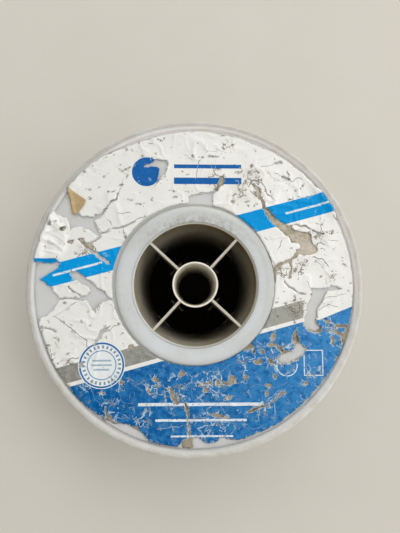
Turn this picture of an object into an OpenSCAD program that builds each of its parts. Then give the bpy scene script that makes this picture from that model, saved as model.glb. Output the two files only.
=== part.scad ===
// Wire spool: two moulded flanges on a winding drum, with a two-part hub inside it.
// The spool stands on its far flange. +Z runs along its axis, towards the labelled face.
// Each hub half is one moulding on the real spool: a sleeve, an arbor tube and four ribs.

/* [Flanges] */
// Diameter over the rims
flange_d = 200; // [160:1:300]
// Length of the spool from rim face to rim face
overall_w = 90; // [60:1:140]
// Wall of the flange's web, collar and skirt
web_t = 2.4; // [1.6:0.1:3.4]
// How far the web lies below the rim and the collar
recess = 2.2; // [1.5:0.1:5]
// Width of the rim bead across its face
rim_w = 5.0; // [4:0.1:9]
// How far the rim bead stands out behind the web
rim_lip = 2.4; // [1.4:0.1:5]
// Radius of the rim bead's outer edge
rim_round = 2.2; // [0.5:0.1:2.4]
// Width of the rim bead's rounded inner side
rim_slope = 2.2; // [0.5:0.1:3]
// Radius of the rim bead's other edges
rim_soft = 1.0; // [0.3:0.1:1.4]

/* [Collar] */
// Diameter of the raised collar at its foot
collar_d = 95.0; // [90:0.1:110]
// Width of the rounded shoulder round the collar
collar_round = 4.0; // [0.8:0.1:5]
// Radius of the edge of the collar's hole
mouth_round = 0.2; // [0.1:0.1:1]

/* [Winding drum] */
// Wall of the drum that the wire is wound on
drum_t = 2.0; // [1.2:0.1:3.5]
// Clearance round the drum in the collar's pocket
drum_fit = 0.2; // [0.1:0.05:0.5]

/* [Hub] */
// Inner diameter of the sleeve
sleeve_d = 72.4; // [60:0.1:76]
// Wall of the sleeve
sleeve_t = 1.2; // [0.8:0.1:2]
// Clearance round the sleeve in the collar's hole
sleeve_fit = 0.1; // [0.05:0.05:0.5]
// How far the stop ring stands out behind the collar
stop_w = 1.4; // [0.8:0.1:2]
// Height of the stop ring along the axis
stop_h = 2.0; // [1:0.1:5]
// Bore for the rod that the spool turns on
arbor_d = 25.0; // [16:0.1:32]
// Wall of the arbor tube
arbor_t = 1.0; // [0.8:0.1:3]
// Thickness of a rib
rib_t = 1.5; // [1:0.1:2.5]
// Angle of the first rib from the X axis
rib_angle = 47.3; // [0:0.1:90]
// Number of ribs in each half
rib_count = 4; // [3:1:6]
// How far the hub's ends lie below the collar's face
end_drop = 0.1; // [0.05:0.05:1.2]
// Radius of the sleeve's and the arbor tube's end edges
end_round = 0.2; // [0.1:0.1:0.4]

/* [Rib keepers] */
// Length of a keeper plate across its rib
keeper_w = 11.0; // [6:0.5:13]
// Thickness of a keeper plate
keeper_t = 1.2; // [0.8:0.1:2]
// Height of a keeper plate below the joint
keeper_foot = 8.0; // [4:0.5:15]
// How far the keeper's cheeks reach past the joint
keeper_reach = 5.0; // [2:0.5:10]
// Clearance on each side of the rib in its keeper
keeper_fit = 0.15; // [0.1:0.05:0.4]
// Distance of the keepers from the tube and from the sleeve
keeper_gap = 4.5; // [2:0.1:6]

/* [Label] */
// Thickness of the label
label_t = 0.3; // [0.1:0.05:0.6]
// Gap between the label and the rim bead
label_gap = 0.2; // [0.1:0.1:2]
// Least gap between the label and the collar's foot
label_foot_gap = 0.1; // [0.05:0.05:4]
// How far the label's hole lies off the spool's axis along X
label_shift_x = -1.0; // [-2:0.1:2]
// How far the label's hole lies off the spool's axis along Y
label_shift_y = 0.8; // [-2:0.1:2]

/* [Hidden] */
$fn = 120;
arc_steps = 8;
same_point = 0.001;
// How far a cutting solid runs past the face that it opens
overrun = 1;

flange_r = flange_d / 2;
rim_inner_r = flange_r - rim_w;
collar_r = collar_d / 2;
pocket_r = collar_r - web_t;
flange_depth = recess + web_t;
rim_depth = flange_depth + rim_lip;

drum_r = pocket_r - drum_fit;
drum_length = overall_w - 2 * web_t;

sleeve_inner_r = sleeve_d / 2;
sleeve_r = sleeve_inner_r + sleeve_t;
collar_hole_r = sleeve_r + sleeve_fit;
stop_r = sleeve_r + stop_w;
arbor_r = arbor_d / 2;
arbor_outer_r = arbor_r + arbor_t;
joint_z = overall_w / 2;
hub_half = joint_z - end_drop;
stop_top = joint_z - web_t;
keeper_radii = [arbor_outer_r + keeper_gap, sleeve_inner_r - keeper_gap];
keeper_slot = rib_t + 2 * keeper_fit;

web_z = overall_w - recess;
label_r = rim_inner_r - label_gap;
label_shift = [label_shift_x, label_shift_y];
label_hole_r = collar_r + norm(label_shift) + label_foot_gap;

// The tears are drawn on a label of this radius, and follow its size
tear_draft_r = 95;
tears = [
    // Strip lifted off between the rim and the folded corner
    [[-79, 61], [-76, 57], [-75, 50], [-74, 43.5], [-70, 42], [-67.5, 40.5], [-63, 40],
     [-58, 42.5], [-57, 40], [-60.5, 37.5], [-57, 29], [-64, 33], [-69.5, 34.5], [-74.5, 34],
     [-78, 39], [-85.5, 43.5], [-92, 46]],
    // Bare web at the left, above and below a last end of the stripe
    [[-101, 14.5], [-94, 14.5], [-82, 14], [-84.5, 8], [-91, 5.5], [-92, 4], [-88, -0.5],
     [-84, -3], [-80.5, -8], [-85, -16.5], [-92, -19.5], [-101, -21]],
    // Gouge from the stripe down to the collar
    [[-74.5, 8], [-66, 5.5], [-60, -0.5], [-55, -3.5], [-52, -7], [-46, -8], [-46, -10],
     [-55, -10.5], [-59, -16], [-64, -10], [-68, -8.5], [-67, -6.5], [-64, -7], [-61.5, -3.5],
     [-68.5, 2], [-72, 3]],
    // Notch over the collar, with a channel to its upper right
    [[-4, 46], [-4, 53.5], [-1, 54.5], [4, 55.5], [8, 55.5], [14, 62], [17.5, 63.5], [17, 60],
     [12, 55], [10, 46]],
    // Wide gouge on the upper right
    [[43, 48], [45.5, 44], [50, 39.5], [56, 35.5], [64, 32], [70, 30], [70, 26], [73.5, 21.5],
     [70, 17.5], [61, 19], [63, 23], [62, 25.5], [57, 27.5], [51.5, 33], [45, 38], [42, 45]],
    // Gouge at the right, from the white field into the blue one
    [[69.5, -2], [78, -2], [80, -0.5], [84, -0.5], [89, -3], [79, -4], [75.5, -9], [72, -16],
     [71, -22], [74.5, -27.5], [68, -27.5], [64.5, -23.5], [66.5, -12], [69.5, -7]],
    // Hole in the blue field
    [[60.5, -29.5], [62, -34], [65.5, -38], [64, -41.5], [56, -46.5], [50, -46.5], [48.5, -44],
     [50, -41], [58, -38.5], [59, -34]],
    // Lower edge, worn away beside the rim
    [[-66, -73], [-52, -79.5], [-45, -81.5], [-34, -82.5], [-30, -87], [-24, -91.5], [-10, -94],
     [-7, -88.5], [3, -88], [7, -92], [12, -91.5], [14, -88.5], [20, -89], [24, -91],
     [35, -86.5], [50, -79.5], [66, -67], [74, -74], [0, -104], [-74, -80]]
];

// Points on an arc round [x, y], from one angle to another
function arc(x, y, radius, start, end) = [
    for (step = [0 : arc_steps])
        let (angle = start + (end - start) * step / arc_steps)
            [x + radius * cos(angle), y + radius * sin(angle)]
];

// Points on a rounded side that rises from the web to the face, from one angle to another
function brow(x, wide, start, end) = [
    for (step = [0 : arc_steps])
        let (angle = start + (end - start) * step / arc_steps)
            [x + wide * cos(angle), recess * (sin(angle) - 1)]
];

// Leaves out each point that the next one repeats
function distinct(points) = [
    for (place = [0 : len(points) - 1])
        if (norm(points[place] - points[(place + 1) % len(points)]) > same_point)
            points[place]
];

// The flange's section: a collar with a pocket behind it, a thin web and a rim bead.
// Its outer face is at zero and its web lies below.
module flange_section() {
    shoulder = min(collar_round, collar_r - collar_hole_r - mouth_round);
    slope = min(rim_slope, rim_w - rim_round);
    polygon(distinct(concat(
        [[collar_hole_r, -web_t]],
        arc(collar_hole_r + mouth_round, -mouth_round, mouth_round, 180, 90),
        brow(collar_r - shoulder, shoulder, 90, 0),
        brow(rim_inner_r + slope, slope, 180, 90),
        arc(flange_r - rim_round, -rim_round, rim_round, 90, 0),
        arc(flange_r - rim_soft, rim_soft - rim_depth, rim_soft, 0, -90),
        arc(rim_inner_r + rim_soft, rim_soft - rim_depth, rim_soft, 270, 180),
        [[rim_inner_r, -flange_depth], [pocket_r, -flange_depth], [pocket_r, -web_t]]
    )));
}

// The rounded upper end of a tube's section, from its outer wall to its inner one
function tube_end(inner_r, outer_r) = concat(
    arc(outer_r - end_round, hub_half - end_round, end_round, 0, 90),
    arc(inner_r + end_round, hub_half - end_round, end_round, 90, 180)
);

module flange() {
    color([0.82, 0.83, 0.80])
        rotate_extrude()
            flange_section();
}

module near_flange() {
    translate([0, 0, overall_w])
        flange();
}

module far_flange() {
    mirror([0, 0, 1])
        flange();
}

// The drum stands in both pockets and sets the distance between the flanges
module winding_drum() {
    color([0.78, 0.79, 0.76])
        translate([0, 0, web_t])
            difference() {
                cylinder(r = drum_r, h = drum_length);
                translate([0, 0, -overrun])
                    cylinder(r = drum_r - drum_t, h = drum_length + 2 * overrun);
            }
}

// Puts a hub half, drawn upwards from the joint plane, in the near or the far half
module in_half(is_near) {
    translate([0, 0, joint_z])
        if (is_near)
            children();
        else
            mirror([0, 0, 1])
                children();
}

// A thin sleeve that ends flush in the collar's hole. Its stop ring bears on the back of
// the collar, so the two hub halves are held between the flanges.
module half_sleeve() {
    color([0.76, 0.76, 0.72])
        rotate_extrude()
            polygon(distinct(concat(
                [[sleeve_inner_r, 0], [sleeve_r, 0], [sleeve_r, stop_top - stop_h]],
                [[stop_r, stop_top - stop_h], [stop_r, stop_top], [sleeve_r, stop_top]],
                tube_end(sleeve_inner_r, sleeve_r)
            )));
}

module half_arbor_tube() {
    color([0.80, 0.80, 0.77])
        rotate_extrude()
            polygon(distinct(concat(
                [[arbor_r, 0], [arbor_outer_r, 0]],
                tube_end(arbor_r, arbor_outer_r)
            )));
}

// Keeps what lies between the arbor tube and the sleeve
module within_sleeve(bottom, top) {
    difference() {
        intersection() {
            children();
            translate([0, 0, bottom])
                cylinder(r = sleeve_inner_r, h = top - bottom);
        }
        translate([0, 0, bottom - overrun])
            cylinder(r = arbor_outer_r, h = top - bottom + 2 * overrun);
    }
}

module rib_plate(bottom, top) {
    translate([0, -rib_t / 2, bottom])
        cube([sleeve_r, rib_t, top - bottom]);
}

// Two cross plates on a rib. Above the joint each is slotted for the other half's rib.
module keeper_plates() {
    for (radius = keeper_radii)
        difference() {
            translate([radius - keeper_t / 2, -keeper_w / 2, -keeper_foot])
                cube([keeper_t, keeper_w, keeper_foot + keeper_reach]);
            translate([radius - keeper_t / 2 - overrun, -keeper_slot / 2, 0])
                cube([keeper_t + 2 * overrun, keeper_slot, keeper_reach + overrun]);
        }
}

module near_ribs() {
    color([0.84, 0.84, 0.81])
        for (turn = [0 : rib_count - 1])
            rotate([0, 0, rib_angle + turn * 360 / rib_count])
                within_sleeve(joint_z, overall_w)
                    rib_plate(joint_z, joint_z + hub_half);
}

module far_ribs() {
    color([0.84, 0.84, 0.81])
        for (turn = [0 : rib_count - 1])
            rotate([0, 0, rib_angle + turn * 360 / rib_count])
                within_sleeve(0, joint_z + keeper_reach)
                    union() {
                        rib_plate(end_drop, joint_z);
                        translate([0, 0, joint_z])
                            keeper_plates();
                    }
}

module near_sleeve() {
    in_half(true)
        half_sleeve();
}

module far_sleeve() {
    in_half(false)
        half_sleeve();
}

module near_arbor_tube() {
    in_half(true)
        half_arbor_tube();
}

module far_arbor_tube() {
    in_half(false)
        half_arbor_tube();
}

// The printed label, with its tears cut out
module face_label() {
    color([0.93, 0.93, 0.91])
        translate([0, 0, web_z])
            difference() {
                cylinder(r = label_r, h = label_t);
                translate([label_shift_x, label_shift_y, -overrun])
                    cylinder(r = label_hole_r, h = label_t + 2 * overrun);
                for (tear = tears)
                    translate([0, 0, -overrun])
                        linear_extrude(label_t + 2 * overrun)
                            scale(label_r / tear_draft_r)
                                polygon(tear);
            }
}

near_flange();
far_flange();
winding_drum();
near_sleeve();
near_ribs();
near_arbor_tube();
far_sleeve();
far_ribs();
far_arbor_tube();
face_label();
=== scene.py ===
"""Wire spool of milky polypropylene with an old printed label on its near flange.

Shapes are written in millimetres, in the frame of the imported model: +Z runs along the
spool's axis, out of the labelled face. They become metres where a mesh is made.
"""

import math

import bmesh
import bpy
import numpy as np
from mathutils import Matrix, Vector


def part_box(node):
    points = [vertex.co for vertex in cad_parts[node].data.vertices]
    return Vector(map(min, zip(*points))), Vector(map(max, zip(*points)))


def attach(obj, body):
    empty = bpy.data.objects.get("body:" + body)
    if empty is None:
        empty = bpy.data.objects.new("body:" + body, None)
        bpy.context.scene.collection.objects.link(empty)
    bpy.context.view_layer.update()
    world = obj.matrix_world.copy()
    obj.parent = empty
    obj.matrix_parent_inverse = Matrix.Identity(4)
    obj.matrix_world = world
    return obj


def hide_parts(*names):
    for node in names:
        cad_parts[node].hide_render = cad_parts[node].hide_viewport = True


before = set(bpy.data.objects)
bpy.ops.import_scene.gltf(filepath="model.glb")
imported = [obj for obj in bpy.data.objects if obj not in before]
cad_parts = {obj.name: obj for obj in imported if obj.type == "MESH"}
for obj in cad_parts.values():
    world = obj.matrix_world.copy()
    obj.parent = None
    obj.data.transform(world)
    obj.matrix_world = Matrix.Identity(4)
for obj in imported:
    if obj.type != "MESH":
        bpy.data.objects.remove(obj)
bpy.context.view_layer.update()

# Metres in a millimetre
MM = 0.001

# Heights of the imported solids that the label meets, in millimetres
FACE_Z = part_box("near_flange")[1].z / MM
WEB_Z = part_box("face_label")[0].z / MM

# The film stays clear of the collar, outside this radius
COLLAR_R = 47.6

# Label: a printed film on a layer of tan backing paper and glue, with its hole off the axis
FILM_T = 0.16
BACKING_T = 0.1
HOLE_CENTRE = (-1.0, 0.8)
HOLE_R = 48.5
# The backing's top starts this much under the film, and it is so much thinner than its layer
BACKING_SINK = 0.04
BACKING_GAP = 0.03
# Each piece is cut from a square grid with this half size and cell
FILM_GRID = (96.2, 0.65)
BACKING_GRID = (94.5, 0.9)
CORNER_GRID = (9.0, 0.4)
# Islands with fewer grid points than this are dropped
FEWEST_POINTS = 14
# How far the lifted film and the folded corner may rise over the flange's face
FILM_RISE = 0.8
CORNER_RISE = 1.3

# Print: two stripes and a field that run up to the right. A stripe is given by the height of
# its middle and half its width, measured across the stripes.
STRIPE_TURN = math.radians(15.19)
ALONG_STRIPES = (math.cos(STRIPE_TURN), math.sin(STRIPE_TURN), 0)
ACROSS_STRIPES = (-math.sin(STRIPE_TURN), math.cos(STRIPE_TURN), 0)
LIGHT_STRIPE = (27.43, 6.44)
GREY_STRIPE = (-30.79, 5.02)
GREY_END = 64.5
RAGGED_END = 12.0
FIELD_TOP = -38.09

# Plain printed marks: centres, radii, and boxes as two corners
DISC_AT, DISC_R = (-29.5, 68.5), 9.0
HEADING_BARS = (((-13, 70.8), (28, 73.2)), ((-13, 61), (28, 65)))
SEAL_AT, SEAL_R = (-54.5, -47), 13.6
SEAL_TICKS = 26
SEAL_BARS = (((-60, -44.9), (-49, -43.9)), ((-60.5, -47.5), (-48.5, -46.5)),
             ((-59, -50.1), (-50, -49.1)))
FIELD_RULES = (((-33, -70.4), (40, -68.6)), ((-23, -79.2), (30, -77.8)), ((-14, -88), (22, -87)))
# These two run along the stripes
STRIPE_RULES = (((-80, 26.6), (-50, 27.9)), ((64, 26.6), (92, 27.9)))
WINDOW = ((64.2, -53.2), (75, -38.7))
LOOP_AT, LOOP_R = (54, -47.5), 6.0
OUTLINE_HALF = 0.3


# ------------------------------------------------------------------ shapes on the label

NOISE_TABLE = np.random.default_rng(7).uniform(-1, 1, (256, 256))


def wander(spots, size, lane):
    """Smooth noise from -1 to 1 with bumps about this many millimetres apart.

    Each lane is another stretch of the same table.
    """
    at = spots / size + 37.3 * lane
    cell = np.floor(at).astype(int)
    part = at - cell
    s, t = (part * part * (3 - 2 * part)).T
    i, j = (cell % 256).T
    i_next, j_next = (i + 1) % 256, (j + 1) % 256
    low = NOISE_TABLE[i, j] * (1 - s) + NOISE_TABLE[i_next, j] * s
    high = NOISE_TABLE[i, j_next] * (1 - s) + NOISE_TABLE[i_next, j_next] * s
    return low * (1 - t) + high * t


def ramp(value, start, end):
    """0 before start, 1 after end and a smooth rise between them."""
    t = np.clip((value - start) / (end - start), 0, 1)
    return t * t * (3 - 2 * t)


# Distances on the label are not worked out beyond this
FAR = 8.0


def to_line(spots, line, closed):
    """Millimetres to a line of points, negative inside a closed one, and FAR beyond reach."""
    line = np.array(line, float)
    got = np.full(len(spots), FAR)
    near = np.all((spots > line.min(0) - FAR) & (spots < line.max(0) + FAR), axis=1)
    here = spots[near]
    best = np.full(len(here), FAR)
    inside = np.zeros(len(here), bool)
    ends = np.roll(line, -1, 0) if closed else line[1:]
    for a, b in zip(line, ends):
        along = b - a
        t = np.clip(((here - a) @ along) / (along @ along), 0, 1)
        best = np.minimum(best, np.hypot(*(here - a - t[:, None] * along).T))
        if closed and a[1] != b[1]:
            crosses = (a[1] > here[:, 1]) != (b[1] > here[:, 1])
            left = here[:, 0] < a[0] + (here[:, 1] - a[1]) * along[0] / along[1]
            inside ^= crosses & left
    got[near] = np.where(inside, -best, best)
    return got


def to_mark(spots, mark):
    """About how far it is to an oval mark (x, y, half length, half width, turn)."""
    x, y, long, wide, turn = mark
    turn = math.radians(turn)
    off = spots - (x, y)
    u = off @ (math.cos(turn), math.sin(turn))
    v = off @ (-math.sin(turn), math.cos(turn))
    return (np.hypot(u / long, v / wide) - 1) * wide


# Where the film is torn off down to the plastic, as outlines
TEARS = [
    # strip along the rim, at the folded corner
    [(-84, 62), (-77.4, 59), (-75.6, 51), (-74.2, 43.6), (-70, 42.3), (-67.5, 40.6), (-63.5, 40),
     (-60.5, 41.2), (-58.3, 42.5), (-57, 41.6), (-57.4, 39.8), (-60.5, 37.7), (-60, 35),
     (-57, 30.5), (-57.5, 28.7), (-61.5, 31), (-64, 33), (-67, 34.4), (-69.5, 34.7),
     (-74.5, 34.2), (-76, 36.7), (-77.8, 40.2), (-80, 41.2), (-85.5, 43.8), (-92, 47)],
    # left end of the light stripe
    [(-101, 13.6), (-94.5, 13.6), (-88, 12.9), (-81.5, 13.4), (-80.5, 12), (-82, 9.5),
     (-84.5, 7.5), (-88, 5.5), (-92, 4.2), (-92, 3), (-88, -0.5), (-84.5, -1.8), (-84.2, -4),
     (-80.8, -7.4), (-80.4, -9), (-82, -12), (-85, -16.5), (-87.5, -18.2), (-92, -19.8),
     (-101, -21)],
    # gouge from the light stripe to the collar
    [(-74.6, 8.6), (-70, 7.2), (-66, 5.5), (-63, 2.5), (-60, -0.3), (-55, -3.5), (-52, -7),
     (-47, -8), (-47, -9.9), (-51, -9.7), (-55, -10.4), (-58.2, -13), (-58.8, -16.5),
     (-60.5, -15.2), (-62, -12.5), (-64, -10), (-68, -8.6), (-67.8, -6.5), (-64, -6.9),
     (-62.2, -5), (-61.7, -3.2), (-65, -0.6), (-68.5, 2), (-71.5, 3.2), (-74.2, 5.8)],
    # notch over the collar, with a channel to its upper right
    [(-4.2, 47), (-4, 53.3), (-1.5, 54.3), (1, 54.4), (4, 55.5), (8, 55.2), (9.8, 56.5),
     (12.5, 59), (14, 62.5), (15, 66), (17.5, 67), (17.8, 63.5), (16.2, 60.8), (13, 57.5),
     (10.3, 53.2), (9.6, 47)],
    # crescent at the top
    [(-31, 71.6), (-27, 74.5), (-22, 76.2), (-17, 76), (-16.6, 73.4), (-18, 69.3), (-20, 65.2),
     (-22, 62.2), (-24, 61), (-22.8, 64), (-22.2, 67), (-21.6, 70.5), (-24, 72), (-28, 71.6)],
    # wide gouge on the upper right, with its branch
    [(41.6, 48), (43, 46.8), (45.5, 44), (48, 40.5), (52, 38), (56, 35.6), (59, 33.7),
     (64, 32.2), (68, 31.5), (70, 30.2), (69.7, 27.5), (71, 24.2), (73.5, 21.5), (73, 19.6),
     (71, 18.3), (66, 17.4), (61, 18.8), (59.9, 21), (63.4, 22.4), (62.2, 24.6), (58.5, 26),
     (55.5, 29.4), (51.5, 33), (48, 36), (45, 38), (43.4, 41.5), (41.4, 44.5), (40, 46.5)],
    # gouge from the crumpled piece into the light stripe
    [(-70, 27.2), (-67.5, 28), (-65.5, 25.5), (-63.2, 23.6), (-60.5, 20.6), (-57.5, 18),
     (-53.5, 15), (-50.6, 12), (-52.5, 12.4), (-56, 14.6), (-60, 17.2), (-63.5, 20),
     (-66.5, 22.8), (-68.4, 25)],
    # branching crack above the grey stripe
    [(-49.5, -24.2), (-53, -25.6), (-55.6, -27.6), (-58, -31.5), (-59.8, -35.5),
     (-61.3, -38.2), (-59.2, -36.4), (-56.6, -32.8), (-54.9, -29.4), (-52.6, -27.2)],
    # gouge at the right, from the white into the blue
    [(68.8, -1.6), (73, -2.3), (78, -1.8), (81, -0.7), (84, -0.6), (88.5, -2.8), (84, -3.6),
     (80, -3.8), (77.2, -6.5), (75.2, -10.5), (73, -14.5), (72.2, -18), (71.6, -22),
     (73.6, -25.2), (74.3, -27.6), (71, -28.6), (66, -26.4), (64.4, -23.5), (65.6, -17),
     (66.6, -12), (68.6, -9), (69.6, -6)],
    # hole in the blue field
    [(60.5, -29.4), (62, -34), (65.5, -38), (64, -41.4), (59.5, -44), (56, -46.4),
     (50, -46.6), (48.4, -44), (50, -41.2), (53.5, -39.6), (57.6, -38.6), (59.2, -34)],
    # lower edge, worn away beside the rim
    [(-70, -66), (-64.5, -69.6), (-58, -74), (-52, -78.6), (-46, -80), (-40, -81),
     (-34, -82.4), (-30, -87), (-24, -91.4), (-15, -93.8), (-9.6, -94), (-7, -89.6),
     (-2, -88.6), (2, -88.2), (6, -91), (12, -91.4), (14, -88.6), (20, -89), (24.5, -91),
     (30, -88.6), (40, -85), (50, -79.6), (60, -72), (69, -63.6), (76, -66), (60, -84),
     (0, -106), (-60, -86), (-78, -68)],
    # left and right parts of the lower edge
    [(-101, -20), (-92.6, -20.4), (-90.6, -28), (-89, -34), (-86.4, -38), (-84.5, -43),
     (-82.4, -47), (-79.5, -51), (-76, -56), (-70, -64), (-78, -68), (-100, -40)],
    [(92.4, -24.8), (89.2, -24.4), (88.6, -27), (88.8, -31), (88.3, -36), (86.2, -41),
     (83.8, -45.2), (80, -50), (74, -57.4), (69, -63.6), (76, -66), (92, -44), (99, -26)],
]

# Wide cracks through the film: half width, then the line that they follow
CRACKS = [
    (0.5, [(-60.1, 40), (-57.6, 41.2), (-55.5, 42.9), (-53.6, 45.6)]),
    (0.3, [(-53.4, 46.7), (-50.9, 48.7), (-48, 51.2), (-46.7, 55.8)]),
    (0.3, [(-57.2, 30.5), (-50.1, 33.6), (-43.8, 34.6), (-40.5, 35.4), (-36.3, 38.3)]),
    (0.45, [(-60.1, 32.5), (-56.6, 28.9), (-59.7, 26.2), (-62.6, 24.6)]),
    (0.45, [(-80.5, -8.2), (-75.8, -7.9), (-70, -8.5), (-66.2, -9.2)]),
    (0.35, [(-75.4, -0.8), (-73.3, -2.9), (-70, -5.4), (-66.3, -7.1)]),
    (0.45, [(-88.6, -25), (-81.7, -27.5)]),
    (0.35, [(53.5, 1.8), (55, -0.5), (57.5, -2.2), (60.5, -4.2), (65.5, -5.8)]),
    (0.90, [(60.5, 18.8), (57, 15), (50, 11), (47.5, 8.5), (46.8, 4)]),
    (0.55, [(57, 13), (57.2, 8), (56.5, 4.2)]),
    (0.3, [(57, 35.5), (60, 36.4), (64, 35.6), (67, 34.8), (70, 32.6), (73, 31.8)]),
    (0.75, [(74.7, 30.7), (77.6, 31.2)]),
    (0.55, [(48.8, 74.3), (52.5, 74.9)]), (0.5, [(53.5, 65.5), (56.8, 63.6)]),
    (0.9, [(38.6, 53.4), (40.4, 51.5), (41.6, 49), (41.8, 46.5)]),
    (0.45, [(52.1, -63.2), (48.6, -65), (45.7, -67.9), (42.9, -69.3), (35.7, -72.1),
            (30.7, -74.3)]),
    (0.35, [(-5.3, -68.6), (-3.9, -77.6), (-3.1, -86.9)]),
    (0.6, [(-51.8, -71), (-50.6, -75), (-48.1, -78.3), (-44.6, -80.4)]),
]

# Hairline cracks: half width, then the line that they follow
HAIRLINES = [
    # upper right
    (0.2, [(40, 72), (44, 72.5), (47, 73.6), (50, 74.8)]),
    (0.2, [(48.5, 68.5), (51, 67), (56, 64), (59, 62)]),
    (0.1, [(43, 69.5), (46, 66.5), (50, 64), (53, 62.5), (57, 61)]),
    (0.2, [(60, 62), (60.3, 64), (62, 65), (64, 65.2), (64.8, 64)]),
    (0.2, [(62.5, 53.6), (66, 53), (70, 54), (75, 55.5)]),
    (0.2, [(41.5, 57), (43.5, 55.3), (45, 54.2), (46.5, 52), (49, 50.5)]),
    (0.35, [(33.6, 63), (36.5, 63.2), (40.5, 61.4), (42.4, 58.6), (43, 56), (46, 53)]),
    (0.3, [(70.5, 16.5), (74, 16.2), (76.5, 15.2), (77.5, 13.6), (79.8, 11)]),
    (0.35, [(73, 31.8), (74.6, 28.6)]), (0.3, [(33.5, 57), (36, 54.4), (39, 53)]),
    (0.25, [(72, 33), (73.5, 30.5)]), (0.2, [(75, 31), (75.8, 34), (77, 37), (78.2, 39.3)]),
    (0.2, [(77, 36.8), (75, 36.9), (72.5, 37.3)]),
    (0.3, [(73, 23), (74, 24.8), (76, 25.3), (78, 24.2)]),
    (0.15, [(80, 26.8), (84, 26.5), (87, 26.7)]),
    (0.25, [(83.5, 42), (85, 40.5), (86, 38.5), (87, 37.5)]),
    (0.2, [(49.5, 21), (51.5, 23), (52, 26.5)]), (0.2, [(41.5, 28), (43.5, 26.5)]),
    # right
    (0.2, [(61.5, -5), (63, -5.4), (65.5, -5.8)]), (0.15, [(67, 2.5), (68, -0.5), (69, -3)]),
    (0.25, [(46.5, 14), (48, 12)]), (0.35, [(45.5, 8), (47.5, 4), (48, 2)]),
    (0.2, [(72, 14.5), (75, 12.5), (77, 10.5)]), (0.1, [(78, 3.5), (78.3, 0)]),
    (0.15, [(75, -9), (82, -7), (90, -5.5)]), (0.12, [(76, -12), (82, -10)]),
    (0.2, [(73, -15), (80, -12), (85, -13)]), (0.2, [(61, -10.5), (63, -14), (64, -16.5)]),
    (0.15, [(52, -14), (55, -16), (57, -19), (61, -20)]),
    (0.15, [(56, -13), (59, -17), (62, -18)]),
    # upper left
    (0.3, [(-70.5, 41.2), (-64.7, 39.6), (-60.1, 40)]),
    (0.2, [(-53, 39.2), (-51.3, 37.9), (-50.1, 35.4)]), (0.2, [(-36.3, 38.3), (-31.3, 40.8)]),
    (0.2, [(-60.1, 37), (-59.3, 34.6), (-57.2, 32.1), (-54.7, 30.8), (-50.5, 32.1)]),
    (0.2, [(-47, 43.1), (-39, 43.1)]), (0.3, [(-59.3, 21.7), (-60.9, 18.3)]),
    (0.15, [(-64.7, 20.4), (-69.3, 17.5)]), (0.15, [(-46.7, 55.8), (-44.9, 59.4), (-43.6, 64)]),
    # lower left
    (0.25, [(-72.5, -12.1), (-70, -10.4)]),
    (0.12, [(-82.1, -18.8), (-77.5, -15.4), (-72.9, -12.1)]),
    (0.25, [(-82.5, -18.8), (-75.8, -23.3), (-70, -27.9), (-63.5, -32.9), (-63.5, -36.6)]),
    (0.3, [(-75.4, -46.7), (-73.8, -44.2), (-70.8, -42.9), (-68.3, -42.5)]),
    (0.2, [(-54.2, -28.3), (-51, -27.4), (-48.2, -25.4), (-45, -23.3)]),
    # blue field
    (0.12, [(-38.5, -51.9), (-37.4, -56.9), (-35.3, -59.4), (-30.3, -61.1)]),
    (0.12, [(-44, -64), (-43, -67.6), (-40, -68.9), (-35.3, -69)]),
    (0.12, [(-35.3, -62.6), (-35.6, -68), (-34.6, -74)]),
    (0.3, [(-33.9, -78.3), (-30, -75.6), (-26, -72.2)]),
    (0.3, [(-21.7, -82.9), (-16, -83.3), (-6.7, -81.1)]), (0.1, [(-1.7, -58), (-1.7, -66)]),
    (0.15, [(-63, -57), (-60, -61), (-58, -66), (-55, -69)]),
    (0.12, [(-28, -52), (-25, -54.6), (-22, -58.6), (-15, -60)]),
    (0.25, [(40, -68.6), (45, -65), (50, -61.4)]), (0.3, [(46.4, -69.3), (46.8, -75)]),
    (0.3, [(38.6, -70.7), (37.1, -75.7), (37.5, -78.6)]), (0.25, [(41.4, -70.7), (41, -73.9)]),
    (0.35, [(1.4, -82.9), (10, -81.1)]), (0.2, [(11.4, -78.9), (24.3, -80.7)]),
    (0.15, [(3.6, -86.4), (8, -87.6), (13.6, -90)]), (0.15, [(28, -83), (34, -84), (39, -82)]),
    (0.12, [(12, -52.9), (16, -50), (24.3, -45), (27, -42)]),
    (0.12, [(56, -50), (60, -47), (68, -45.6), (76, -42)]),
    (0.12, [(2, -66), (10, -69), (19, -69.6), (27, -66)]),
    (0.12, [(30, -60), (38, -58), (46, -60), (54, -57)]),
    # top
    (0.12, [(5.8, 87.5), (6.5, 80.6)]), (0.12, [(5.8, 82.2), (12.7, 81.8)]),
    (0.12, [(12.7, 83.3), (18.8, 81)]), (0.12, [(-6.9, 79.5), (-1.9, 75.6)]),
    (0.2, [(2.7, 76), (1.2, 69.1), (0, 64.5)]), (0.25, [(10.4, 72.9), (11.2, 68.3), (15, 65.2)]),
    (0.2, [(-1.2, 54.5), (5, 55.6), (9.6, 53.7), (11.2, 49.8)]),
    (0.15, [(-30.8, 71.8), (-24, 74.6), (-16.5, 75.6), (-18.5, 65.2), (-25, 59.8)]),
]

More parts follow.
